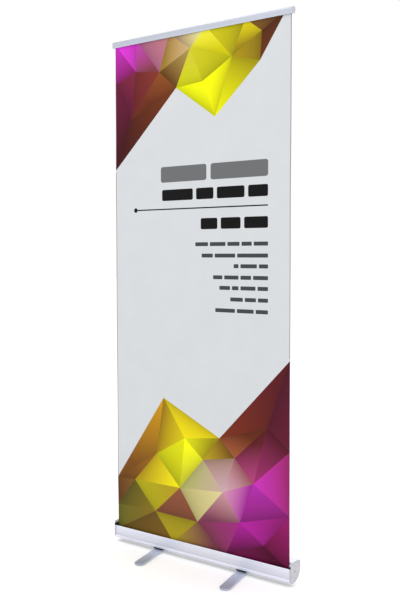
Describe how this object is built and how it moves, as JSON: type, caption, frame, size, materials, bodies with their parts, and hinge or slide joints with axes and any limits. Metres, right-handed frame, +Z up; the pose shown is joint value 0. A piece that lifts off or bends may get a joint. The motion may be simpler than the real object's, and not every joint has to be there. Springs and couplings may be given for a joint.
{
  "type": "roll-up banner stand",
  "caption": "Roll-up banner stand: spring-roller cassette on two swivelling feet, printed film banner held by a clamp rail on a sectional pole.",
  "frame": {"origin": "on the floor, under the middle of the two feet and half way along the cassette", "axes": "+X along the cassette, -Y towards the printed side, +Z up"},
  "size_m": [0.876, 0.3986, 2.094],
  "materials": {
    "anodised": "satin anodised",
    "rail_alu": "satin anodised",
    "pole_alu": "satin anodised",
    "foot_alu": "satin anodised, grey",
    "cap_plastic": "fine moulded texture",
    "film": "printed satin film",
    "tape": "double-sided tape",
    "felt": "felt",
    "rubber": "matt",
    "cord": "braided elastic",
    "steel": "zinc plated",
    "black_plastic": "moulded"
  },
  "bodies": {
    "base": {"cassette_front": "anodised", "cassette_rear": "anodised", "end_cap_left": "cap_plastic", "end_cap_right": "cap_plastic", "end_cap_screws": "steel", "lip_felt": "felt", "slot_stop_left": "black_plastic", "slot_stop_right": "black_plastic", "foot_mount_left": "black_plastic", "foot_mount_right": "black_plastic", "foot_mount_screws": "steel", "foot_bolt_left": "steel", "foot_bolt_right": "steel", "foot_washers": "black_plastic", "spring_arbor": "steel", "roller_bush": "black_plastic", "pole_cup": "black_plastic", "pole_bezel": "black_plastic", "banner": "film"},
    "roller": {"roller_tube": "anodised", "roller_plug_left": "black_plastic", "roller_plug_right": "black_plastic", "torsion_spring": "steel", "leader_wrap": "film", "leader_tape": "tape"},
    "left_foot": {"foot_bar_left": "foot_alu", "foot_glides_left": "rubber"},
    "right_foot": {"foot_bar_right": "foot_alu", "foot_glides_right": "rubber"},
    "rail": {"rail_back": "rail_alu", "rail_cap_left": "cap_plastic", "rail_cap_right": "cap_plastic", "rail_cap_screws": "steel"},
    "jaw": {"rail_jaw": "rail_alu", "jaw_grip": "rubber"},
    "pole": {"pole_foot": "black_plastic", "pole_tube_lower": "pole_alu", "pole_tube_middle": "pole_alu", "pole_tube_upper": "pole_alu", "pole_joint_lower": "black_plastic", "pole_joint_upper": "black_plastic", "pole_cord": "cord", "pole_hook": "black_plastic"}
  },
  "joints": [
    {"name": "left_foot_swivel", "type": "hinge", "parent": "base", "child": "left_foot", "pos_m": [-0.207, 0, 0.0052], "axis": [0, 0, 1], "range_deg": [-103, 77]},
    {"name": "right_foot_swivel", "type": "hinge", "parent": "base", "child": "right_foot", "pos_m": [0.207, 0, 0.0052], "axis": [0, 0, 1], "range_deg": [-103, 77]},
    {"name": "rail_travel", "type": "slide", "parent": "base", "child": "rail", "axis": [0, 0, 1], "range_m": [-1.978, 0.006], "deforming": ["banner"]},
    {"name": "roller_spin", "type": "hinge", "parent": "base", "child": "roller", "pos_m": [0, -0.0055, 0.056], "axis": [1, 0, 0], "range_deg": [-25, 6830]},
    {"name": "jaw_open", "type": "hinge", "parent": "rail", "child": "jaw", "pos_m": [0, -0.019, 2.09], "axis": [-1, 0, 0], "range_deg": [0, 35]},
    {"name": "pole_lean", "type": "hinge", "parent": "base", "child": "pole", "pos_m": [0, 0.0215, 0.058], "axis": [-1, 0, 0], "range_deg": [0, 3]}
  ],
  "couplings": [
    {"joint": "roller_spin", "follows": "rail_travel", "rad_per_m": -60.2}
  ]
}
